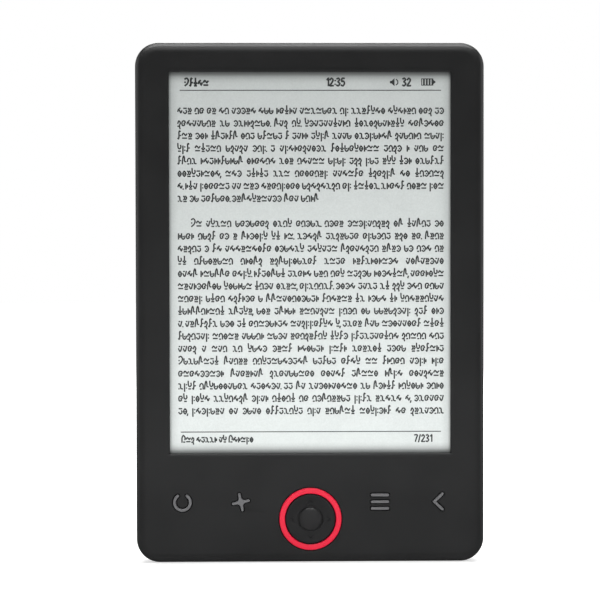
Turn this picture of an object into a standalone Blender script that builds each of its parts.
"""A six-inch e-paper reader, built as the separate parts that it comes apart into on a bench.

Frame: metres, +Z up along the reader's height, -Y out of the screen, +X to the right of someone
who faces the screen. The reader stands on its bottom edge. The origin is in the middle of that
edge, half way through the full depth.

Depth levels below are world Y values: the screen side is negative and the rear is positive.
"""

import math
from collections import namedtuple

import bmesh
import bpy
from mathutils import Matrix, Vector

MM = 0.001

# Every piece keeps this gap to a piece that it rests on or is cut round
FIT = 0.3 * MM

# Body
BODY_WIDTH = 112.5 * MM
BODY_HEIGHT = 167.8 * MM
CORNER_RADIUS = 7.6 * MM
FRONT_FACE = -4.35 * MM
REAR_FACE = 4.65 * MM
FRONT_ROUND = (3.2 * MM, 2.9 * MM)  # in from the side, and back from the face
REAR_ROUND = (2.8 * MM, 2.9 * MM)
FRONT_WALL = 0.8 * MM
SIDE_WALL = 1.6 * MM
REAR_WALL = 1.0 * MM
FRONT_INSIDE = FRONT_FACE + FRONT_WALL
REAR_INSIDE = REAR_FACE - REAR_WALL
FRONT_RIM = -1.35 * MM
REAR_RIM = FRONT_RIM + FIT
RIM_SKIN = 0.6 * MM  # the outer skin of the front housing's rim, outside the cover's lip
LIP_THICKNESS = 0.6 * MM
LIP_DEPTH = 0.9 * MM
FRONT_INNER_ROUND = (2.0 * MM, 1.0 * MM)  # as the outer rounds, at the foot of the inner wall
REAR_INNER_ROUND = (1.55 * MM, 0.85 * MM)
CORNER_STEPS = 6
ROUND_STEPS = 4

# Window and display
ACTIVE_WIDTH = 90.6 * MM
ACTIVE_HEIGHT = 122.9 * MM
WINDOW_Z = 96.8 * MM
WINDOW_CORNER = 0.4 * MM
WINDOW_ROUND = (1.5 * MM, 0.6 * MM)
FILM_FRONT = FRONT_INSIDE + FIT
FILM_THICKNESS = 0.4 * MM
FILM_MARGIN = 1.8 * MM  # of the film past the window, all round
GASKET_WIDTH = 1.4 * MM
GASKET_CORNERS = (1.0 * MM, 0.5 * MM)  # outer and inner radius
GLASS_FRONT = FILM_FRONT + FILM_THICKNESS + FIT
GLASS_THICKNESS = 0.5 * MM
GLASS_WIDTH = 97.8 * MM
GLASS_BOTTOM = 27.0 * MM
GLASS_TOP = 162.4 * MM
DRIVER_SIZE = (22.0 * MM, 0.35 * MM, 2.4 * MM)
DRIVER_BOTTOM = 29.0 * MM
RIBBON_THICKNESS = 0.15 * MM
DISPLAY_RIBBON_WIDTH = 20.0 * MM
DISPLAY_RIBBON_Z = (26.4 * MM, 28.6 * MM, 27.1 * MM)  # bend centre, end on the glass, end on the board
KEY_RIBBON_WIDTH = 8.0 * MM
KEY_RIBBON_Z = (17.5 * MM, 23.8 * MM, 26.5 * MM)  # end on the key board, first bend, end on the board

# Keys on the front
KEY_TOP = -4.65 * MM
KEY_Z = 19.7 * MM
OUTER_KEY_X = 41.35 * MM
INNER_KEY_X = 22.47 * MM
FLANGE_FRONT = FRONT_INSIDE + FIT
FLANGE_THICKNESS = 0.5 * MM
FLANGE_SIZE = (8.2 * MM, 8.2 * MM)
PLUNGER_RADIUS = 1.3 * MM
GLYPH_STROKE = 0.95 * MM
ROTATE_RADIUS = 2.55 * MM
ROTATE_GAP_DEG = 35.0
ZOOM_REACH = 3.0 * MM
ZOOM_FILLET = 1.0 * MM
ZOOM_TURN_DEG = 11.5
MENU_WIDTH = 6.0 * MM
MENU_PITCH = 2.17 * MM
BACK_WIDTH = 2.6 * MM
BACK_HEIGHT = 4.95 * MM

# Key board and its domes
KEY_BOARD_FRONT = -1.25 * MM
KEY_BOARD_THICKNESS = 0.6 * MM
KEY_BOARD_BACK = KEY_BOARD_FRONT + KEY_BOARD_THICKNESS
KEY_BOARD_WIDTH = 95.0 * MM
KEY_BOARD_BOTTOM = 3.4 * MM
KEY_BOARD_TOP = 23.4 * MM
DOME_RADIUS = 2.0 * MM
DOME_HEIGHT = 0.3 * MM
DOME_SHEET = 0.12 * MM
DOME_SEAT = KEY_BOARD_FRONT - FIT
PLUNGER_END = DOME_SEAT - DOME_HEIGHT - FIT

# Navigation pad
NAV_Z = 14.2 * MM
TRIM_OUTER = 10.05 * MM
TRIM_INNER = 8.25 * MM
TRIM_BACK = -3.75 * MM
COLLAR_RADIUS = 11.6 * MM
COLLAR_BACK = -2.95 * MM
ROCKER_RADIUS = TRIM_INNER - FIT
ROCKER_HOLE = 4.05 * MM
ROCKER_RIM = -4.5 * MM
ROCKER_MIDDLE = -4.25 * MM  # half way across its face
ROCKER_DISH = -4.15 * MM  # beside its hole
ROCKER_BACK = -3.15 * MM
ROCKER_POCKET = 4.8 * MM
ROCKER_POCKET_FRONT = -3.65 * MM
RIDGE_END = -2.95 * MM
RIDGE_SPAN = (5.2 * MM, 7.4 * MM)  # above and below the pad's centre
RIDGE_HALF = 0.4 * MM
GIMBAL_FRONT = RIDGE_END + FIT
GIMBAL_BACK = -2.4 * MM
GIMBAL_OUTER = 8.9 * MM
GIMBAL_INNER = 4.6 * MM
ROCKER_PIVOT = GIMBAL_FRONT  # left and right tilt
GIMBAL_PIVOT = GIMBAL_BACK  # up and down tilt
NAV_DOME_REACH = 6.3 * MM
NUB_RADIUS = 1.1 * MM
OK_RADIUS = 3.65 * MM
OK_SHOULDER = -3.85 * MM
OK_FLANGE = (4.3 * MM, -3.35 * MM, -2.95 * MM)  # radius, front and back

# Main board, behind the key board
BOARD_FRONT = 0.1 * MM
BOARD_THICKNESS = 0.6 * MM
BOARD_BACK = BOARD_FRONT + BOARD_THICKNESS
BOARD_WIDTH = 94.0 * MM
BOARD_BOTTOM = 3.4 * MM
BOARD_TOP = 60.0 * MM
PART_FRONT = BOARD_BACK + FIT  # where the pieces on the board's rear side start
RIBBON_SLOT = (22.0 * MM, 23.6 * MM, 25.8 * MM)  # across, and the Z that it runs between
RIBBON_SLOT_X = -26.0 * MM  # of the second slot, which is half as wide

# Sockets along the bottom edge
PORT_Y = 1.2 * MM
USB_SIZE = (7.5 * MM, 2.6 * MM, 5.4 * MM)  # across, through the depth, and along Z
USB_MOUTH = 0.6 * MM
USB_SHEET = 0.25 * MM
USB_CORNER = 0.9 * MM
TONGUE_HALF = 1.9 * MM
TONGUE_Y = (-0.35 * MM, 0.25 * MM)  # its two faces, measured from the port's middle
TONGUE_SETBACK = 0.5 * MM
CARD_X = -22.0 * MM
CARD_SIZE = (14.2 * MM, 1.5 * MM, 14.4 * MM)
CARD_MOUTH = 1.9 * MM
CARD_OPENING = (12.2 * MM, 1.2 * MM, 0.3 * MM)  # across, through the depth, and corner radius
CARD_WALL = 0.3 * MM
CARD_CAVITY_HALF = 5.7 * MM
JACK_X = 22.0 * MM
JACK_SIZE = (6.8 * MM, 4.0 * MM, 12.0 * MM)
JACK_MOUTH = 2.2 * MM
JACK_BORE = 1.8 * MM
JACK_OPENING = JACK_BORE + 0.05 * MM
PORT_CUT_TOP = 3.0 * MM  # above the cover's inner wall

# Power key on the bottom edge
POWER_X = 38.0 * MM
POWER_SIZE = (8.5 * MM, 2.0 * MM)
POWER_CORNER = POWER_SIZE[1] / 2 - 0.02 * MM
POWER_FACE = 0.12 * MM
POWER_FLANGE = (10.5 * MM, 2.6 * MM, 0.6 * MM)
POWER_FLANGE_LOW = 1.9 * MM
POWER_NUB_TOP = 3.5 * MM
POWER_NUB_HALF_Y = 0.35 * MM
SWITCH_SIZE = (5.0 * MM, 2.2 * MM, 3.2 * MM)
SWITCH_BOTTOM = 4.8 * MM
SWITCH_STEM = (1.6 * MM, 0.9 * MM)
SWITCH_STEM_DEPTH = 1.2 * MM

# Middle frame and battery
FRAME_FRONT = GLASS_FRONT + GLASS_THICKNESS + FIT
FRAME_THICKNESS = 0.7 * MM
FRAME_BACK = FRAME_FRONT + FRAME_THICKNESS
FRAME_WIDTH = 97.6 * MM
FRAME_BOTTOM = 27.0 * MM
FRAME_TOP = 162.8 * MM
EAR_SIZE = 6.0 * MM
EAR_REACH = (4.0 * MM, 2.2 * MM)  # inward and outward of its screw
PAD_THICKNESS = 0.2 * MM
PAD_Z = (78.0 * MM, 140.0 * MM)
STRIP_WIDTH = 40.0 * MM  # of the adhesive, the cell's circuit strip and the cell's stop
CELL_SIZE = (60.0 * MM, 3.0 * MM, 86.0 * MM)
CELL_FRONT = FRAME_BACK + FIT + PAD_THICKNESS + FIT
CELL_BOTTOM = 66.0 * MM
CELL_EDGE = 0.6 * MM
CIRCUIT_Y = (0.3 * MM, 1.7 * MM)
CIRCUIT_BOTTOM = 62.6 * MM
PLUG_X = (27.2 * MM, 32.8 * MM)
PLUG_Z = (55.0 * MM, 58.4 * MM)
PLUG_TALL = 1.8 * MM
LEAD_RADIUS = 0.4 * MM

# Ribs and posts. Every rib is as thick in X
RIB_THICKNESS = 1.0 * MM
BOARD_RIB_X = 31.5 * MM
BOARD_RIB_Z = (11.0 * MM, 23.0 * MM)
COVER_RIB_X = 33.0 * MM
COVER_RIB_FRONT = 2.6 * MM
CELL_RIB_X = CELL_SIZE[0] / 2 + 1.5 * MM
CELL_RIB_Z = (70.0 * MM, 150.0 * MM)
CELL_RIB_BACK = 0.8 * MM
COVER_BOSS = (1.9 * MM, 1.2 * MM)  # radius, and the Y that it ends at
COVER_SLEEVE = (2.6 * MM, 1.5 * MM)
HEAD_RECESS = (1.8 * MM, 3.1 * MM)
FRAME_POST = 1.7 * MM
LOW_POST = 1.6 * MM
HIGH_POST = 1.8 * MM
PEG = (45.2 * MM, 8.0 * MM)
PEG_RADIUS = 0.8 * MM

# Fasteners, with their (X, Z) places. A screw's seat is the Y that its head starts at
Screw = namedtuple("Screw", "seat head_radius head_tall shaft_radius length")
COVER_SCREW = Screw(3.4 * MM, 1.5 * MM, 0.9 * MM, 0.75 * MM, 4.4 * MM)
FRAME_SCREW = Screw(FRAME_BACK + FIT, 1.3 * MM, 0.5 * MM, 0.55 * MM, 2.1 * MM)
BOARD_SCREW = Screw(BOARD_BACK + FIT, 1.4 * MM, 0.6 * MM, 0.55 * MM, 2.1 * MM)
PILOT_SPARE = 0.45 * MM  # of a hole past its screw's tip
COVER_SCREW_X = 51.2 * MM
COVER_SCREW_Z = (10.4 * MM, 157.4 * MM)
FRAME_SCREW_X = 52.0 * MM
FRAME_SCREW_Z = (55.0 * MM, 125.0 * MM)
LOW_BOARD_SCREW = (33.0 * MM, 7.5 * MM)
HIGH_BOARD_SCREW = (42.0 * MM, 55.0 * MM)
ROUND_SIDES = 12
NAV_SIDES = 32

SIDES = (-1, 1)


# Scene and materials

def clear_scene():
    for obj in list(bpy.data.objects):
        bpy.data.objects.remove(obj)


def material(name, colour, roughness=0.5, metallic=0.0):
    made = bpy.data.materials.new(name)
    made.use_nodes = True
    shader = made.node_tree.nodes["Principled BSDF"]
    shader.inputs["Base Color"].default_value = (*colour, 1.0)
    shader.inputs["Roughness"].default_value = roughness
    shader.inputs["Metallic"].default_value = metallic
    return made


# Outlines, as lists of 2-D points that run anticlockwise

def rounded_outline(width, height, radius, steps=CORNER_STEPS):
    points = []
    for quarter, (sx, sy) in enumerate(((1, 1), (-1, 1), (-1, -1), (1, -1))):
        for i in range(steps + 1):
            angle = math.radians(90 * quarter + 90 * i / steps)
            x = sx * (width / 2 - radius) + radius * math.cos(angle)
            y = sy * (height / 2 - radius) + radius * math.sin(angle)
            points.append((x, y))
    return points


def stroke_outline(line, half_width, cap_steps=4):
    """The outline of a pen stroke along a line of 2-D points, with round ends."""
    line = [Vector(p) for p in line]
    left, right = [], []
    for i, point in enumerate(line):
        before = line[max(i - 1, 0)]
        after = line[min(i + 1, len(line) - 1)]
        into = (point - before).normalized() if i else (after - point).normalized()
        out = (after - point).normalized() if i < len(line) - 1 else into
        along = (into + out).normalized()
        across = Vector((-along.y, along.x)) * half_width / max(along.dot(into), 0.5)
        left.append(point + across)
        right.append(point - across)
    end_way = (line[-1] - line[-2]).normalized()
    start_way = (line[0] - line[1]).normalized()
    outline = right + round_cap(line[-1], end_way, half_width, cap_steps)
    outline += left[::-1] + round_cap(line[0], start_way, half_width, cap_steps)
    return [tuple(p) for p in outline]


def round_cap(centre, way, half_width, steps):
    """The points between the two corners of a stroke's end, right of the stroke's way to left."""
    start = math.atan2(way.y, way.x) - math.pi / 2
    turns = [start + math.pi * i / steps for i in range(1, steps)]
    return [centre + half_width * Vector((math.cos(a), math.sin(a))) for a in turns]


def cross_outline(reach, half_width, fillet, turn, steps=3):
    """A plus sign with round tips and hollowed inner corners, turned anticlockwise."""
    points = []
    tip = reach - half_width
    for arm in range(4):
        way = math.radians(90 * arm) + turn
        along = Vector((math.cos(way), math.sin(way)))
        across = Vector((-along.y, along.x))
        points += round_cap(along * tip, along, half_width, steps + 1)
        middle = (half_width + fillet) * (along + across)
        for i in range(steps + 1):
            angle = way - math.pi / 2 - math.pi / 2 * i / steps
            points.append(middle + fillet * Vector((math.cos(angle), math.sin(angle))))
    return [tuple(p) for p in points]


def rotate_line():
    """The centre line of an open ring whose gap is at the top."""
    steps = 14
    start = 90.0 + ROTATE_GAP_DEG
    sweep = 360.0 - 2 * ROTATE_GAP_DEG
    angles = [math.radians(start + sweep * i / steps) for i in range(steps + 1)]
    return [(ROTATE_RADIUS * math.cos(a), ROTATE_RADIUS * math.sin(a)) for a in angles]


def back_line():
    half = BACK_HEIGHT / 2
    return [(BACK_WIDTH / 2, half), (-BACK_WIDTH / 2, 0.0), (BACK_WIDTH / 2, -half)]


def glyph_outlines(grow=0.0):
    """The outlines that each front key shows, grown all round by grow."""
    half = GLYPH_STROKE / 2 + grow
    bar = MENU_WIDTH / 2 - GLYPH_STROKE / 2
    bars = [[(-bar, row * MENU_PITCH), (bar, row * MENU_PITCH)] for row in (-1, 0, 1)]
    turn = math.radians(ZOOM_TURN_DEG)
    cross = cross_outline(ZOOM_REACH + grow, half, ZOOM_FILLET - grow, turn)
    return {
        "key_rotate": [stroke_outline(rotate_line(), half)],
        "key_zoom": [cross],
        "key_menu": [stroke_outline(line, half) for line in bars],
        "key_back": [stroke_outline(back_line(), half)],
    }


KEY_PLACES = {
    "key_rotate": -OUTER_KEY_X,
    "key_zoom": -INNER_KEY_X,
    "key_menu": INNER_KEY_X,
    "key_back": OUTER_KEY_X,
}


# Solids

def finish(bm, name, look=None, origin=(0, 0, 0)):
    """Makes an object from a bmesh built in world places, with its origin moved to origin."""
    bmesh.ops.recalc_face_normals(bm, faces=bm.faces)
    bmesh.ops.translate(bm, verts=bm.verts, vec=-Vector(origin))
    mesh = bpy.data.meshes.new(name)
    bm.to_mesh(mesh)
    bm.free()
    obj = bpy.data.objects.new(name, mesh)
    obj.location = origin
    bpy.context.scene.collection.objects.link(obj)
    if look:
        mesh.materials.append(look)
    return obj


def add_face(bm, points):
    return bm.faces.new([bm.verts.new(p) for p in points])


def prism(name, outline, low, high, look=None, centre=(0, 0), axis="Y", origin=(0, 0, 0)):
    """An outline pushed along an axis from low to high. It lies in XZ, or in XY for axis Z."""
    bm = bmesh.new()
    cx, cy = centre
    if axis == "Y":
        points = [(cx + x, low, cy + z) for x, z in outline]
        push = Vector((0, high - low, 0))
    else:
        points = [(cx + x, cy + y, low) for x, y in outline]
        push = Vector((0, 0, high - low))
    face = add_face(bm, points)
    grown = bmesh.ops.extrude_face_region(bm, geom=[face], use_keep_orig=True)
    moved = [v for v in grown["geom"] if isinstance(v, bmesh.types.BMVert)]
    bmesh.ops.translate(bm, verts=moved, vec=push)
    return finish(bm, name, look, origin)


def loft(name, rings, look=None):
    """A closed solid through rings that have the same number of points, capped at both ends."""
    bm = bmesh.new()
    loops = [[bm.verts.new(p) for p in ring] for ring in rings]
    for near, far in zip(loops, loops[1:]):
        for i in range(len(near)):
            bm.faces.new((near[i - 1], near[i], far[i], far[i - 1]))
    bm.faces.new(loops[0])
    bm.faces.new(loops[-1])
    return finish(bm, name, look)


def box(name, low, high, look=None, bevel=0.0, origin=(0, 0, 0)):
    bm = bmesh.new()
    bmesh.ops.create_cube(bm, size=1.0)
    low, high = Vector(low), Vector(high)
    size = Matrix.Diagonal((*(high - low), 1.0))
    bmesh.ops.transform(bm, matrix=Matrix.Translation((low + high) / 2) @ size, verts=bm.verts)
    obj = finish(bm, name, look, origin)
    if bevel:
        rounding = obj.modifiers.new("edges", "BEVEL")
        rounding.width = bevel
        rounding.segments = 2
        rounding.limit_method = "NONE"
    return obj


def turned(name, profile, look=None, centre=(0, 0), sides=ROUND_SIDES, closed=False, origin=(0, 0, 0)):
    """A profile of (radius, Y) points spun about an axis along Y through centre, as (X, Z)."""
    bm = bmesh.new()
    verts = [bm.verts.new((radius, y, 0)) for radius, y in profile]
    pairs = list(zip(verts, verts[1:]))
    if closed:
        pairs.append((verts[-1], verts[0]))
    edges = [bm.edges.new(pair) for pair in pairs]
    bmesh.ops.spin(
        bm,
        geom=verts + edges,
        cent=(0, 0, 0),
        axis=(0, 1, 0),
        angle=2 * math.pi,
        steps=sides,
        use_merge=True,
    )
    bmesh.ops.remove_doubles(bm, verts=bm.verts, dist=1e-7)
    bmesh.ops.translate(bm, verts=bm.verts, vec=(centre[0], 0, centre[1]))
    obj = finish(bm, name, look, origin)
    obj.data.shade_smooth()
    obj.data.set_sharp_from_angle(angle=math.radians(30))
    return obj


def cylinder(name, radius, low, high, look=None, centre=(0, 0), sides=ROUND_SIDES):
    profile = [(0, low), (radius, low), (radius, high), (0, high)]
    return turned(name, profile, look, centre, sides)


def upright_cylinder(name, radius, low, high, centre):
    """A cylinder along Z through centre, as (X, Y)."""
    outline = [
        (radius * math.cos(a), radius * math.sin(a))
        for a in (2 * math.pi * i / ROUND_SIDES for i in range(ROUND_SIDES))
    ]
    return prism(name, outline, low, high, centre=centre, axis="Z")


def rib(name, x, levels, span):
    """A thin wall centred on x, between two Y levels and along a span of Z."""
    half = RIB_THICKNESS / 2
    return box(name, (x - half, levels[0], span[0]), (x + half, levels[1], span[1]))


def pilot_end(kind):
    """The Y that the hole for a kind of screw ends at."""
    return kind.seat - kind.length - PILOT_SPARE


# Joining and cutting

def combine(target, pieces, operation, solver="EXACT"):
    """Joins or cuts target with each helper piece in turn. The helpers are then hidden.

    The two shells and the gimbal use MANIFOLD, because EXACT leaves open edges on them.
    """
    for piece in pieces:
        piece.hide_render = True
        piece.display_type = "WIRE"
        step = target.modifiers.new(piece.name, "BOOLEAN")
        step.operation = operation
        step.solver = solver
        step.object = piece


def settle(obj):
    """Applies obj's modifiers and removes its helper pieces, so that copies can share its mesh."""
    bpy.context.view_layer.update()
    graph = bpy.context.evaluated_depsgraph_get()
    mesh = bpy.data.meshes.new_from_object(obj.evaluated_get(graph))
    for step in list(obj.modifiers):
        if step.type == "BOOLEAN":
            bpy.data.objects.remove(step.object)
        obj.modifiers.remove(step)
    obj.data = mesh
    return obj


# Shells

def rounding(round_size, steps=ROUND_STEPS):
    """(inset, depth) from a flat face's edge to the side, along a quarter of an ellipse."""
    inward, deep = round_size
    angles = [math.pi / 2 * i / steps for i in range(steps + 1)]
    return [(inward * (1 - math.sin(a)), deep * (1 - math.cos(a))) for a in angles]


def body_ring(inset, y):
    outline = rounded_outline(
        BODY_WIDTH - 2 * inset, BODY_HEIGHT - 2 * inset, CORNER_RADIUS - inset
    )
    return [(x, y, BODY_HEIGHT / 2 + z) for x, z in outline]


def window_ring(grow, y):
    outline = rounded_outline(
        ACTIVE_WIDTH + 2 * grow, ACTIVE_HEIGHT + 2 * grow, WINDOW_CORNER + grow, 3
    )
    return [(x, y, WINDOW_Z + z) for x, z in outline]


def window_cutter():
    edge = rounding(WINDOW_ROUND, 4)
    rings = [window_ring(edge[0][0], FRONT_FACE - MM)]
    rings += [window_ring(grow, FRONT_FACE + deep) for grow, deep in edge]
    rings.append(window_ring(0.0, FRONT_INSIDE + MM))
    return loft("window_cutter", rings)


def front_housing(look):
    rebate = REAR_RIM - LIP_DEPTH - FIT
    rings = [body_ring(inset, FRONT_FACE + deep) for inset, deep in rounding(FRONT_ROUND)]
    rings.append(body_ring(0.0, FRONT_RIM))
    rings.append(body_ring(RIM_SKIN, FRONT_RIM))
    rings.append(body_ring(RIM_SKIN, rebate))
    rings.append(body_ring(SIDE_WALL, rebate))
    for inset, deep in reversed(rounding(FRONT_INNER_ROUND)):
        rings.append(body_ring(SIDE_WALL + inset, FRONT_INSIDE + deep))
    shell = loft("front_housing", rings, look)
    combine(shell, front_additions(), "UNION", "MANIFOLD")
    combine(shell, front_cutters(), "DIFFERENCE", "MANIFOLD")
    return shell


def front_additions():
    root = FRONT_INSIDE - FIT  # where each post starts, inside the wall
    collar = cylinder("nav_collar", COLLAR_RADIUS, root, COLLAR_BACK, None, (0, NAV_Z), NAV_SIDES)
    pieces = [collar]
    boss_radius, boss_end = COVER_BOSS
    frame_end = FRAME_FRONT - FIT
    board_end = BOARD_FRONT - FIT
    rib_levels = (root, KEY_BOARD_FRONT - FIT)
    for side in SIDES:
        for z in COVER_SCREW_Z:
            place = (side * COVER_SCREW_X, z)
            pieces.append(cylinder("cover_boss", boss_radius, root, boss_end, None, place))
        for z in FRAME_SCREW_Z:
            place = (side * FRAME_SCREW_X, z)
            pieces.append(cylinder("frame_post", FRAME_POST, root, frame_end, None, place))
        place = (side * LOW_BOARD_SCREW[0], LOW_BOARD_SCREW[1])
        pieces.append(cylinder("board_post", LOW_POST, root, board_end, None, place))
        place = (side * PEG[0], PEG[1])
        pieces.append(cylinder("board_peg", PEG_RADIUS, root, KEY_BOARD_BACK, None, place))
        pieces.append(rib("board_rib", side * BOARD_RIB_X, rib_levels, BOARD_RIB_Z))
    return pieces


def front_cutters():
    before = FRONT_FACE - MM
    centre = (0, NAV_Z)
    seat = TRIM_BACK + FIT
    nav_levels = (before - MM, COLLAR_BACK + MM)
    pieces = [
        window_cutter(),
        cylinder("trim_cutter", TRIM_OUTER + FIT, before, seat, None, centre, NAV_SIDES),
        cylinder("nav_cutter", TRIM_INNER, *nav_levels, None, centre, NAV_SIDES),
    ]
    for name, outlines in glyph_outlines(FIT).items():
        place = (KEY_PLACES[name], KEY_Z)
        for outline in outlines:
            end = FRONT_INSIDE + MM
            pieces.append(prism(f"{name}_cutter", outline, before, end, None, place))
    for side in SIDES:
        for z in COVER_SCREW_Z:
            place = (side * COVER_SCREW_X, z)
            pieces.append(pilot("cover_pilot", COVER_SCREW, COVER_BOSS[1] + MM, place))
        for z in FRAME_SCREW_Z:
            place = (side * FRAME_SCREW_X, z)
            pieces.append(pilot("frame_pilot", FRAME_SCREW, FRAME_FRONT + MM, place))
        place = (side * LOW_BOARD_SCREW[0], LOW_BOARD_SCREW[1])
        pieces.append(pilot("board_pilot", BOARD_SCREW, BOARD_FRONT + MM, place))
    return pieces


def pilot(name, kind, start, place):
    """The cutter for a kind of screw's hole, from its bottom back to start."""
    return cylinder(name, kind.shaft_radius + FIT, pilot_end(kind), start, None, place)


def rear_cover(look):
    lip_out = RIM_SKIN + FIT
    lip_in = lip_out + LIP_THICKNESS
    rings = [body_ring(inset, REAR_FACE - deep) for inset, deep in rounding(REAR_ROUND)]
    rings.append(body_ring(0.0, REAR_RIM))
    rings.append(body_ring(lip_out, REAR_RIM))
    rings.append(body_ring(lip_out, REAR_RIM - LIP_DEPTH))
    rings.append(body_ring(lip_in, REAR_RIM - LIP_DEPTH))
    for inset, deep in reversed(rounding(REAR_INNER_ROUND)):
        rings.append(body_ring(lip_in + inset, REAR_INSIDE - deep))
    shell = loft("rear_cover", rings, look)
    combine(shell, rear_additions(), "UNION", "MANIFOLD")
    combine(shell, rear_cutters(), "DIFFERENCE", "MANIFOLD")
    return shell


def rear_additions():
    root = REAR_INSIDE + FIT
    radius, front = COVER_SLEEVE
    pieces = []
    for side in SIDES:
        for z in COVER_SCREW_Z:
            place = (side * COVER_SCREW_X, z)
            pieces.append(cylinder("cover_sleeve", radius, front, root, None, place))
        levels = (COVER_RIB_FRONT, root)
        pieces.append(rib("cover_rib", side * COVER_RIB_X, levels, CELL_RIB_Z))
    return pieces


def rear_cutters():
    behind = REAR_FACE + MM
    head_radius, head_floor = HEAD_RECESS
    hole = COVER_SCREW.shaft_radius + FIT
    shaft_levels = (COVER_SLEEVE[1] - MM / 2, head_floor + MM)
    pieces = []
    for side in SIDES:
        for z in COVER_SCREW_Z:
            place = (side * COVER_SCREW_X, z)
            pieces.append(cylinder("head_cutter", head_radius, head_floor, behind, None, place, 16))
            pieces.append(cylinder("shaft_cutter", hole, *shaft_levels, None, place))
    usb = rounded_outline(USB_SIZE[0] + 2 * FIT, USB_SIZE[1] + 2 * FIT, USB_CORNER, 3)
    card = rounded_outline(*CARD_OPENING, 3)
    pill_corner = POWER_CORNER + FIT
    pill = rounded_outline(POWER_SIZE[0] + 2 * FIT, POWER_SIZE[1] + 2 * FIT, pill_corner, 4)
    card_y = PART_FRONT + CARD_SIZE[1] / 2
    levels = (-MM, PORT_CUT_TOP)
    pieces.append(prism("usb_cutter", usb, *levels, None, (0, PORT_Y), "Z"))
    pieces.append(prism("card_cutter", card, *levels, None, (CARD_X, card_y), "Z"))
    pieces.append(prism("power_cutter", pill, *levels, None, (POWER_X, PORT_Y), "Z"))
    pieces.append(upright_cylinder("jack_cutter", JACK_OPENING, *levels, (JACK_X, PORT_Y)))
    return pieces


# Display

def flat_ring(name, inner, width, low, high, look):
    """A flat rectangular ring round the window, of one width."""
    outer = (inner[0] + 2 * width, inner[1] + 2 * width)
    bm = bmesh.new()
    edges = []
    for size, radius in zip((outer, inner), GASKET_CORNERS):
        ring = rounded_outline(*size, radius, 2)
        verts = [bm.verts.new((x, low, WINDOW_Z + z)) for x, z in ring]
        edges += [bm.edges.new(pair) for pair in zip(verts, verts[1:] + verts[:1])]
    faces = bmesh.ops.bridge_loops(bm, edges=edges)["faces"]
    grown = bmesh.ops.extrude_face_region(bm, geom=faces, use_keep_orig=True)
    moved = [v for v in grown["geom"] if isinstance(v, bmesh.types.BMVert)]
    bmesh.ops.translate(bm, verts=moved, vec=(0, high - low, 0))
    return finish(bm, name, look)


def display(looks):
    half_wide = ACTIVE_WIDTH / 2 + FILM_MARGIN
    half_tall = ACTIVE_HEIGHT / 2 + FILM_MARGIN
    film_low = (-half_wide, FILM_FRONT, WINDOW_Z - half_tall)
    film_high = (half_wide, FILM_FRONT + FILM_THICKNESS, WINDOW_Z + half_tall)
    box("epaper_film", film_low, film_high, looks["epaper"])
    hole = (2 * (half_wide + FIT), 2 * (half_tall + FIT))
    depth = (FILM_FRONT, FILM_FRONT + FILM_THICKNESS)
    flat_ring("display_gasket", hole, GASKET_WIDTH, *depth, looks["foam"])
    glass_low = (-GLASS_WIDTH / 2, GLASS_FRONT, GLASS_BOTTOM)
    glass_high = (GLASS_WIDTH / 2, GLASS_FRONT + GLASS_THICKNESS, GLASS_TOP)
    box("display_glass", glass_low, glass_high, looks["glass"])
    width, thickness, height = DRIVER_SIZE
    chip_back = GLASS_FRONT - FIT
    chip_low = (-width / 2, chip_back - thickness, DRIVER_BOTTOM)
    box("display_driver", chip_low, (width / 2, chip_back, DRIVER_BOTTOM + height), looks["chip"])
    display_ribbon(looks["flex"])


def arc(centre, radius, start_deg, end_deg, steps=8):
    """Points round a centre in the YZ plane. Zero degrees is along +Y, and 90 along +Z."""
    turns = [start_deg + (end_deg - start_deg) * i / steps for i in range(steps + 1)]
    angles = [math.radians(turn) for turn in turns]
    return [(centre[0] + radius * math.cos(a), centre[1] + radius * math.sin(a)) for a in angles]


def ribbon(name, line, x, width, look):
    """A flat flexible circuit that follows a line of (Y, Z) points and is centred on x."""
    outline = stroke_outline(line, RIBBON_THICKNESS / 2, 1)
    bm = bmesh.new()
    face = add_face(bm, [(x - width / 2, y, z) for y, z in outline])
    grown = bmesh.ops.extrude_face_region(bm, geom=[face], use_keep_orig=True)
    moved = [v for v in grown["geom"] if isinstance(v, bmesh.types.BMVert)]
    bmesh.ops.translate(bm, verts=moved, vec=(width, 0, 0))
    return finish(bm, name, look)


def display_ribbon(look):
    """From the glass ledge, under the middle frame and through the main board's slot."""
    bend_z, glass_end, board_end = DISPLAY_RIBBON_Z
    front = GLASS_FRONT - FIT - RIBBON_THICKNESS / 2
    rear = PART_FRONT + 0.6 * MM  # half way up the connector
    line = [(front, glass_end)]
    line += arc(((front + rear) / 2, bend_z), (rear - front) / 2, 180, 360, 12)
    line.append((rear, board_end))
    ribbon("display_ribbon", line, 0, DISPLAY_RIBBON_WIDTH, look)


# Keys and navigation pad

def front_keys(look):
    flange = rounded_outline(*FLANGE_SIZE, MM, 4)
    flange_back = FLANGE_FRONT + FLANGE_THICKNESS
    middle = FLANGE_FRONT + FLANGE_THICKNESS / 2
    for name, outlines in glyph_outlines().items():
        place = (KEY_PLACES[name], KEY_Z)
        origin = (place[0], 0, place[1])
        key = prism(name, flange, FLANGE_FRONT, flange_back, look, place, origin=origin)
        stem = (middle, PLUNGER_END)
        pieces = [prism(f"{name}_glyph", o, KEY_TOP, middle, None, place) for o in outlines]
        pieces.append(cylinder(f"{name}_stem", PLUNGER_RADIUS, *stem, None, place))
        combine(key, pieces, "UNION")


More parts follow.
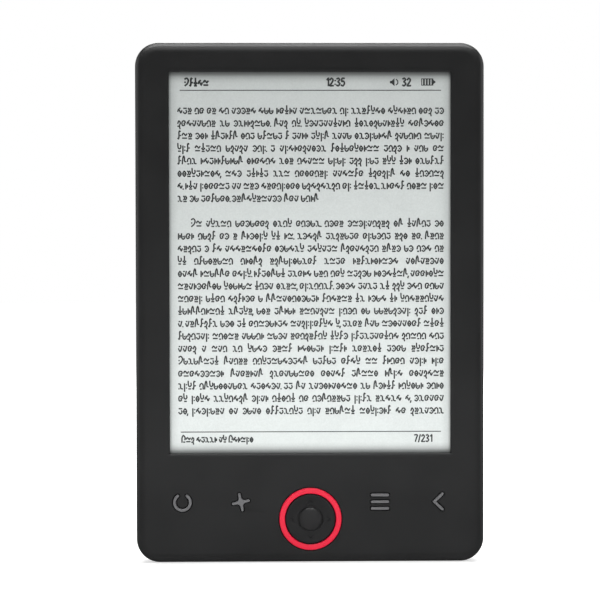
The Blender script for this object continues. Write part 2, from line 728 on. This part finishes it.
def nav_pad(looks):
    centre = (0, NAV_Z)
    edge = 0.35 * MM
    trim = [
        (TRIM_INNER, TRIM_BACK),
        (TRIM_OUTER, TRIM_BACK),
        (TRIM_OUTER, KEY_TOP + edge),
        (TRIM_OUTER - edge, KEY_TOP),
        (TRIM_INNER + edge, KEY_TOP),
        (TRIM_INNER, KEY_TOP + edge),
    ]
    turned("nav_trim_ring", trim, looks["red"], centre, NAV_SIDES, closed=True)
    rocker(looks["keys"], centre)
    gimbal(looks["actuator"], centre)
    ok_button(looks["keys"], centre)


def rocker(look, centre):
    """The dished ring that is pressed up, down, left or right."""
    edge = 0.3 * MM
    profile = [
        (ROCKER_POCKET, ROCKER_BACK),
        (ROCKER_RADIUS, ROCKER_BACK),
        (ROCKER_RADIUS, ROCKER_RIM + edge),
        (ROCKER_RADIUS - edge, ROCKER_RIM),
        ((ROCKER_RADIUS + ROCKER_HOLE) / 2, ROCKER_MIDDLE),
        (ROCKER_HOLE + edge, ROCKER_DISH),
        (ROCKER_HOLE, ROCKER_DISH + edge),
        (ROCKER_HOLE, ROCKER_POCKET_FRONT),
        (ROCKER_POCKET, ROCKER_POCKET_FRONT),
    ]
    origin = (0, ROCKER_PIVOT, NAV_Z)
    cap = turned("nav_rocker", profile, look, centre, NAV_SIDES, True, origin)
    root = ROCKER_BACK - FIT
    pieces = []
    for side in SIDES:
        place = (side * NAV_DOME_REACH, NAV_Z)
        pieces.append(cylinder("rocker_nub", NUB_RADIUS, root, PLUNGER_END, None, place))
        near, far = sorted(NAV_Z + side * reach for reach in RIDGE_SPAN)
        low = (-RIDGE_HALF, root, near)
        pieces.append(box("rocker_ridge", low, (RIDGE_HALF, RIDGE_END, far)))
    combine(cap, pieces, "UNION")


def gimbal(look, centre):
    """The plate under the rocker. It carries the up and down tilt, with a nub for each dome."""
    profile = [
        (GIMBAL_INNER, GIMBAL_FRONT),
        (GIMBAL_OUTER, GIMBAL_FRONT),
        (GIMBAL_OUTER, GIMBAL_BACK),
        (GIMBAL_INNER, GIMBAL_BACK),
    ]
    origin = (0, GIMBAL_PIVOT, NAV_Z)
    plate = turned("nav_gimbal", profile, look, centre, 24, True, origin)
    root = (GIMBAL_FRONT + GIMBAL_BACK) / 2
    nubs, holes = [], []
    for side in SIDES:
        above = (0, NAV_Z + side * NAV_DOME_REACH)
        beside = (side * NAV_DOME_REACH, NAV_Z)
        hole = NUB_RADIUS + FIT
        nubs.append(cylinder("gimbal_nub", NUB_RADIUS, root, PLUNGER_END, None, above))
        holes.append(cylinder("gimbal_hole", hole, GIMBAL_FRONT - MM, 0, None, beside))
    combine(plate, nubs, "UNION", "MANIFOLD")
    combine(plate, holes, "DIFFERENCE", "MANIFOLD")


def ok_button(look, centre):
    flange_radius, flange_front, flange_back = OK_FLANGE
    crown = []
    steps = 3
    for i in range(steps + 1):
        share = i / steps
        crown.append((OK_RADIUS * share, KEY_TOP + (OK_SHOULDER - KEY_TOP) * share**2))
    profile = crown + [
        (OK_RADIUS, flange_front),
        (flange_radius, flange_front),
        (flange_radius, flange_back),
        (PLUNGER_RADIUS, flange_back),
        (PLUNGER_RADIUS, PLUNGER_END),
        (0, PLUNGER_END),
    ]
    turned("ok_button", profile, look, centre, 24, origin=(0, 0, NAV_Z))


# Key board and its snap domes

def dome_places():
    places = {name.replace("key", "dome"): (x, KEY_Z) for name, x in KEY_PLACES.items()}
    places["dome_ok"] = (0, NAV_Z)
    places["dome_up"] = (0, NAV_Z + NAV_DOME_REACH)
    places["dome_down"] = (0, NAV_Z - NAV_DOME_REACH)
    places["dome_left"] = (-NAV_DOME_REACH, NAV_Z)
    places["dome_right"] = (NAV_DOME_REACH, NAV_Z)
    return places


def dome_arc(radius, crown, steps=2):
    shares = [i / steps for i in range(steps + 1)]
    return [(radius * share, crown + (DOME_SEAT - crown) * share**2) for share in shares]


def domes(look):
    """Thin metal domes that snap through when they are pressed, each its own piece."""
    crown = DOME_SEAT - DOME_HEIGHT
    outside = dome_arc(DOME_RADIUS, crown)
    inside = dome_arc(DOME_RADIUS - 2 * DOME_SHEET, crown + DOME_SHEET)
    shared = None
    for name, (x, z) in dome_places().items():
        if shared is None:
            dome = turned(name, outside + inside[::-1], look)
            shared = dome.data
        else:
            dome = bpy.data.objects.new(name, shared)
            bpy.context.scene.collection.objects.link(dome)
        dome.location = (x, 0, z)


def jack_notch(name, low, high):
    half = JACK_SIZE[0] / 2 + FIT
    top = JACK_MOUTH + JACK_SIZE[2] + FIT
    return box(name, (JACK_X - half, low, -MM), (JACK_X + half, high, top))


def key_board(looks):
    low = (-KEY_BOARD_WIDTH / 2, KEY_BOARD_FRONT, KEY_BOARD_BOTTOM)
    high = (KEY_BOARD_WIDTH / 2, KEY_BOARD_BACK, KEY_BOARD_TOP)
    board = box("key_board", low, high, looks["board"])
    through = (KEY_BOARD_FRONT - MM, KEY_BOARD_BACK + MM)
    holes = [jack_notch("key_board_notch", *through)]
    for side in SIDES:
        place = (side * LOW_BOARD_SCREW[0], LOW_BOARD_SCREW[1])
        holes.append(cylinder("post_hole", LOW_POST + FIT, *through, None, place))
        place = (side * PEG[0], PEG[1])
        holes.append(cylinder("peg_hole", PEG_RADIUS + FIT, *through, None, place))
    combine(board, holes, "DIFFERENCE")
    domes(looks["steel"])
    key_ribbon(looks["flex"])


def key_ribbon(look):
    """Up between the two boards, then through the main board's second slot."""
    low_end, turn_z, high_end = KEY_RIBBON_Z
    front = KEY_BOARD_BACK + FIT + RIBBON_THICKNESS / 2
    rear = PART_FRONT + 0.5 * MM  # half way up the connector
    radius = (rear - front) / 2
    line = [(front, low_end)]
    line += arc((front + radius, turn_z), radius, 180, 90, 5)
    line += arc((front + radius, turn_z + 2 * radius), radius, -90, 0, 5)[1:]
    line.append((rear, high_end))
    ribbon("key_ribbon", line, RIBBON_SLOT_X, KEY_RIBBON_WIDTH, look)


# Main board and what is soldered to it

def main_board(looks):
    low = (-BOARD_WIDTH / 2, BOARD_FRONT, BOARD_BOTTOM)
    high = (BOARD_WIDTH / 2, BOARD_BACK, BOARD_TOP)
    board = box("main_board", low, high, looks["board"])
    through = (BOARD_FRONT - MM, BOARD_BACK + MM)
    holes = [jack_notch("main_board_notch", *through)]
    usb_half = USB_SIZE[0] / 2 + FIT
    usb_top = USB_MOUTH + USB_SIZE[2] + FIT
    usb_low = (-usb_half, through[0], -MM)
    holes.append(box("usb_notch", usb_low, (usb_half, through[1], usb_top)))
    width, slot_low, slot_high = RIBBON_SLOT
    for x, across in ((0, width), (RIBBON_SLOT_X, width / 2)):
        near = (x - across / 2, through[0], slot_low)
        holes.append(box("ribbon_slot", near, (x + across / 2, through[1], slot_high)))
    hole = BOARD_SCREW.shaft_radius + FIT
    for x, z in (LOW_BOARD_SCREW, HIGH_BOARD_SCREW):
        for side in SIDES:
            holes.append(cylinder("screw_hole", hole, *through, None, (side * x, z)))
    combine(board, holes, "DIFFERENCE")
    on_board("processor", (-20.0, 42.0), (12.0, 1.1, 12.0), looks["chip"])
    on_board("memory_chip", (-4.0, 44.0), (9.0, 0.9, 11.0), looks["chip"])
    on_board("boost_inductor", (20.0, 27.5), (4.2, 1.8, 4.2), looks["chip"], 0.3 * MM)
    on_board("display_connector", (0.0, 29.2), (23.0, 1.2, 3.4), looks["connector"], 0.1 * MM)
    on_board("key_connector", (-26.0, 28.2), (9.4, 1.0, 2.6), looks["connector"], 0.1 * MM)
    on_board("battery_connector", (30.0, 52.5), (6.4, 2.0, 4.4), looks["connector"], 0.2 * MM)
    shield_can(looks["steel"])


def on_board(name, centre, size, look, bevel=0.08 * MM):
    """A component on the main board's rear side. centre is (X, Z), and both are in millimetres."""
    x, z = (value * MM for value in centre)
    width, tall, height = (value * MM for value in size)
    low = (x - width / 2, PART_FRONT, z - height / 2)
    return box(name, low, (x + width / 2, PART_FRONT + tall, z + height / 2), look, bevel)


def shield_can(look):
    """A pressed steel lid over the power circuits, open towards the board."""
    x, z, sheet = 16.0 * MM, 41.5 * MM, 0.25 * MM
    half, tall = 9.0 * MM, 1.5 * MM
    low = Vector((x - half, PART_FRONT, z - half))
    high = Vector((x + half, PART_FRONT + tall, z + half))
    can = box("shield_can", low, high, look)
    inside_low = low + Vector((sheet, -MM, sheet))
    inside_high = high - Vector((sheet, sheet, sheet))
    combine(can, [box("can_inside", inside_low, inside_high)], "DIFFERENCE")


def usb_port(looks):
    width, tall, length = USB_SIZE
    outline = port_outline(width, tall, USB_CORNER)
    end = USB_MOUTH + length
    shell = prism("usb_port_shell", outline, USB_MOUTH, end, looks["steel"], (0, PORT_Y), "Z")
    inner_corner = USB_CORNER - 0.1 * MM
    inside = port_outline(width - 2 * USB_SHEET, tall - 2 * USB_SHEET, inner_corner)
    low, high = USB_MOUTH - MM, end - USB_SHEET
    cavity = prism("usb_inside", inside, low, high, None, (0, PORT_Y), "Z")
    combine(shell, [cavity], "DIFFERENCE")
    tongue_low = (-TONGUE_HALF, PORT_Y + TONGUE_Y[0], USB_MOUTH + TONGUE_SETBACK)
    tongue_high = (TONGUE_HALF, PORT_Y + TONGUE_Y[1], high - FIT)
    box("usb_port_tongue", tongue_low, tongue_high, looks["chip"], 0.08 * MM)


def port_outline(width, tall, chamfer):
    """A rectangle whose two rear corners are cut off, as a micro port's are."""
    x, y = width / 2, tall / 2
    points = [(-x, -y), (x, -y), (x, y - chamfer), (x - chamfer, y)]
    return points + [(chamfer - x, y), (-x, y - chamfer)]


def card_slot(look):
    width, tall, length = CARD_SIZE
    low = (CARD_X - width / 2, PART_FRONT, CARD_MOUTH)
    high = (CARD_X + width / 2, PART_FRONT + tall, CARD_MOUTH + length)
    holder = box("card_slot", low, high, look)
    half = CARD_CAVITY_HALF
    slot_low = (CARD_X - half, PART_FRONT + CARD_WALL, CARD_MOUTH - MM)
    slot_high = (CARD_X + half, PART_FRONT + tall - CARD_WALL, high[2] - 2 * CARD_WALL)
    combine(holder, [box("card_cavity", slot_low, slot_high)], "DIFFERENCE")


def audio_jack(look):
    width, tall, length = JACK_SIZE
    low = (JACK_X - width / 2, PORT_Y - tall / 2, JACK_MOUTH)
    high = (JACK_X + width / 2, PORT_Y + tall / 2, JACK_MOUTH + length)
    body = box("audio_jack", low, high, look)
    bore_top = high[2] - MM
    bore = upright_cylinder("jack_bore", JACK_BORE, JACK_MOUTH - MM, bore_top, (JACK_X, PORT_Y))
    combine(body, [bore], "DIFFERENCE")


def power_key(looks):
    origin = (POWER_X, PORT_Y, 0)
    place = (POWER_X, PORT_Y)
    pill = rounded_outline(*POWER_SIZE, POWER_CORNER, 5)
    flange_width, flange_deep, flange_tall = POWER_FLANGE
    low_z = POWER_FLANGE_LOW
    middle = low_z + flange_tall / 2
    key = prism("power_button", pill, POWER_FACE, middle, looks["keys"], place, "Z", origin)
    low = (POWER_X - flange_width / 2, PORT_Y - flange_deep / 2, low_z)
    high = (POWER_X + flange_width / 2, PORT_Y + flange_deep / 2, low_z + flange_tall)
    nub_half = SWITCH_STEM[0] / 2
    stem_y = PART_FRONT + SWITCH_SIZE[1] / 2
    nub_low = (POWER_X - nub_half, stem_y - POWER_NUB_HALF_Y, middle)
    nub_high = (POWER_X + nub_half, stem_y + POWER_NUB_HALF_Y, POWER_NUB_TOP)
    combine(key, [box("power_flange", low, high), box("power_nub", nub_low, nub_high)], "UNION")
    power_switch(looks)


def power_switch(looks):
    width, tall, length = SWITCH_SIZE
    low = (POWER_X - width / 2, PART_FRONT, SWITCH_BOTTOM)
    high = (POWER_X + width / 2, PART_FRONT + tall, SWITCH_BOTTOM + length)
    case = box("power_switch", low, high, looks["steel"])
    stem_x, stem_y = SWITCH_STEM[0] / 2, SWITCH_STEM[1] / 2
    y = PART_FRONT + tall / 2
    stem_top = SWITCH_BOTTOM + SWITCH_STEM_DEPTH
    hole_low = (POWER_X - stem_x - FIT, y - stem_y - FIT, SWITCH_BOTTOM - MM)
    hole_high = (POWER_X + stem_x + FIT, y + stem_y + FIT, stem_top + FIT)
    combine(case, [box("switch_hole", hole_low, hole_high)], "DIFFERENCE")
    stem_low = (POWER_X - stem_x, y - stem_y, POWER_NUB_TOP + FIT)
    box("power_switch_stem", stem_low, (POWER_X + stem_x, y + stem_y, stem_top), looks["actuator"])


# Middle frame and battery

def mid_frame(look):
    low = (-FRAME_WIDTH / 2, FRAME_FRONT, FRAME_BOTTOM)
    plate = box("mid_frame", low, (FRAME_WIDTH / 2, FRAME_BACK, FRAME_TOP), look)
    root = FRAME_BACK - FIT
    through = (FRAME_FRONT - MM, FRAME_BACK + MM)
    post_end = BOARD_FRONT - FIT
    additions, holes = [], []
    for side in SIDES:
        for z in FRAME_SCREW_Z:
            x = side * FRAME_SCREW_X
            inner, outer = sorted((x - side * EAR_REACH[0], x + side * EAR_REACH[1]))
            ear_low = (inner, FRAME_FRONT, z - EAR_SIZE / 2)
            additions.append(box("frame_ear", ear_low, (outer, FRAME_BACK, z + EAR_SIZE / 2)))
            hole = FRAME_SCREW.shaft_radius + FIT
            holes.append(cylinder("ear_hole", hole, *through, None, (x, z)))
        levels = (root, CELL_RIB_BACK)
        additions.append(rib("cell_rib", side * CELL_RIB_X, levels, CELL_RIB_Z))
        place = (side * HIGH_BOARD_SCREW[0], HIGH_BOARD_SCREW[1])
        additions.append(cylinder("board_post", HIGH_POST, root, post_end, None, place))
        hole = BOARD_SCREW.shaft_radius + FIT
        pilot_levels = (FRAME_FRONT + FIT, post_end + MM)
        holes.append(cylinder("post_pilot", hole, *pilot_levels, None, place))
    stop_z = CELL_BOTTOM + CELL_SIZE[2] + MM
    stop_low = (-STRIP_WIDTH / 2, root, stop_z)
    stop_high = (STRIP_WIDTH / 2, CELL_RIB_BACK, stop_z + RIB_THICKNESS)
    additions.append(box("cell_stop", stop_low, stop_high))
    combine(plate, additions, "UNION")
    combine(plate, holes, "DIFFERENCE")


def battery(looks):
    width, tall, height = CELL_SIZE
    low = (-width / 2, CELL_FRONT, CELL_BOTTOM)
    high = (width / 2, CELL_FRONT + tall, CELL_BOTTOM + height)
    box("battery_cell", low, high, looks["pouch"], CELL_EDGE)
    half = STRIP_WIDTH / 2
    pad_front = FRAME_BACK + FIT
    pad_high = (half, pad_front + PAD_THICKNESS, PAD_Z[1])
    box("battery_adhesive", (-half, pad_front, PAD_Z[0]), pad_high, looks["foam"])
    strip_low = (-half, CIRCUIT_Y[0], CIRCUIT_BOTTOM)
    strip_high = (half, CIRCUIT_Y[1], CELL_BOTTOM - FIT)
    box("battery_circuit", strip_low, strip_high, looks["flex"], 0.1 * MM)
    plug_low = (PLUG_X[0], PART_FRONT, PLUG_Z[0])
    plug_high = (PLUG_X[1], PART_FRONT + PLUG_TALL, PLUG_Z[1])
    box("battery_plug", plug_low, plug_high, looks["connector"], 0.15 * MM)
    lead("battery_lead_red", 29.0, 60.9, 63.3, looks["red"])
    lead("battery_lead_black", 31.0, 62.4, 64.8, looks["chip"])


def lead(name, plug_x, turn_z, end_z, look):
    """A short insulated wire from the plug to the circuit strip, in millimetres."""
    plug_y, strip_y = 1.9, 1.0
    route = [
        (plug_x, plug_y, 58.7),
        (plug_x, plug_y, 59.7),
        (plug_x - 0.4, plug_y - 0.1, turn_z),
        (plug_x - 3.0, 1.4, end_z),
        (24.0, strip_y, end_z),
        (21.6, strip_y, end_z),
        (20.3, strip_y, end_z),
    ]
    curve = bpy.data.curves.new(name, "CURVE")
    curve.dimensions = "3D"
    curve.bevel_depth = LEAD_RADIUS
    curve.bevel_resolution = 2
    curve.use_fill_caps = True
    points = smooth_line([Vector(point) * MM for point in route])
    spline = curve.splines.new("POLY")
    spline.points.add(len(points) - 1)
    for point, place in zip(spline.points, points):
        point.co = (*place, 1.0)
    curve.materials.append(look)
    bpy.context.scene.collection.objects.link(bpy.data.objects.new(name, curve))


def smooth_line(route, steps=2):
    """Points along a smooth curve that passes through every point of a route."""
    points = []
    for i in range(len(route) - 1):
        before = route[max(i - 1, 0)]
        near, far = route[i], route[i + 1]
        after = route[min(i + 2, len(route) - 1)]
        for k in range(steps):
            t = k / steps
            bend = (far - before) * t + (2 * before - 5 * near + 4 * far - after) * t**2
            bend += (3 * near - before - 3 * far + after) * t**3
            points.append(near + bend / 2)
    return points + [route[-1]]


# Fasteners

def screw(name, kind, look):
    """A cross-head screw along Y. Its head starts at Y 0 and faces the rear."""
    edge = 0.2 * MM
    tip = 0.4 * MM
    profile = [
        (0, -kind.length),
        (kind.shaft_radius - tip / 2, -kind.length),
        (kind.shaft_radius, tip - kind.length),
        (kind.shaft_radius, 0),
        (kind.head_radius, 0),
        (kind.head_radius, kind.head_tall - edge),
        (kind.head_radius - edge, kind.head_tall),
        (0, kind.head_tall),
    ]
    made = turned(name, profile, look)
    reach = 0.62 * kind.head_radius
    thin = 0.13 * kind.head_radius
    floor = 0.45 * kind.head_tall
    above = kind.head_tall + MM
    cross = box("drive_arm", (-reach, floor, -thin), (reach, above, thin))
    other = box("drive_arm", (-thin, floor, -reach), (thin, above + MM, reach))
    combine(made, [cross, other], "DIFFERENCE")
    return settle(made)


def screw_set(name, kind, places, look):
    """One screw at each place, as (X, Z). They share one mesh."""
    first = screw(f"{name}_1", kind, look)
    for i, (x, z) in enumerate(places):
        obj = first if i == 0 else bpy.data.objects.new(f"{name}_{i + 1}", first.data)
        obj.location = (x, kind.seat, z)
        if i:
            bpy.context.scene.collection.objects.link(obj)


def screws(look):
    cover = [(side * COVER_SCREW_X, z) for z in COVER_SCREW_Z for side in SIDES]
    frame = [(side * FRAME_SCREW_X, z) for z in FRAME_SCREW_Z for side in SIDES]
    board = [(side * x, z) for x, z in (LOW_BOARD_SCREW, HIGH_BOARD_SCREW) for side in SIDES]
    screw_set("cover_screw", COVER_SCREW, cover, look)
    screw_set("frame_screw", FRAME_SCREW, frame, look)
    screw_set("board_screw", BOARD_SCREW, board, look)


def make_looks():
    return {
        "shell": material("shell", (0.022, 0.023, 0.023), 0.48),
        "keys": material("keys", (0.028, 0.028, 0.028), 0.4),
        "glyph": material("glyph", (0.23, 0.23, 0.24), 0.42),
        "red": material("red", (0.82, 0.025, 0.055), 0.35),
        "epaper": material("epaper", (0.62, 0.65, 0.64), 0.55),
        "glass": material("glass", (0.35, 0.38, 0.38), 0.15),
        "foam": material("foam", (0.03, 0.03, 0.03), 0.9),
        "flex": material("flex", (0.55, 0.27, 0.05), 0.35),
        "chip": material("chip", (0.02, 0.02, 0.022), 0.55),
        "board": material("board", (0.02, 0.13, 0.06), 0.4),
        "steel": material("steel", (0.55, 0.56, 0.57), 0.3, 1.0),
        "screw": material("screw", (0.05, 0.05, 0.052), 0.4, 1.0),
        "connector": material("connector", (0.75, 0.73, 0.66), 0.5),
        "actuator": material("actuator", (0.012, 0.012, 0.0125), 0.42),
        "pouch": material("pouch", (0.62, 0.63, 0.64), 0.35, 0.6),
        "frame": material("frame", (0.12, 0.12, 0.125), 0.55),
    }


def main():
    clear_scene()
    looks = make_looks()
    front_housing(looks["shell"])
    rear_cover(looks["shell"])
    display(looks)
    front_keys(looks["glyph"])
    nav_pad(looks)
    key_board(looks)
    main_board(looks)
    usb_port(looks)
    card_slot(looks["steel"])
    audio_jack(looks["chip"])
    power_key(looks)
    mid_frame(looks["frame"])
    battery(looks)
    screws(looks["screw"])


main()
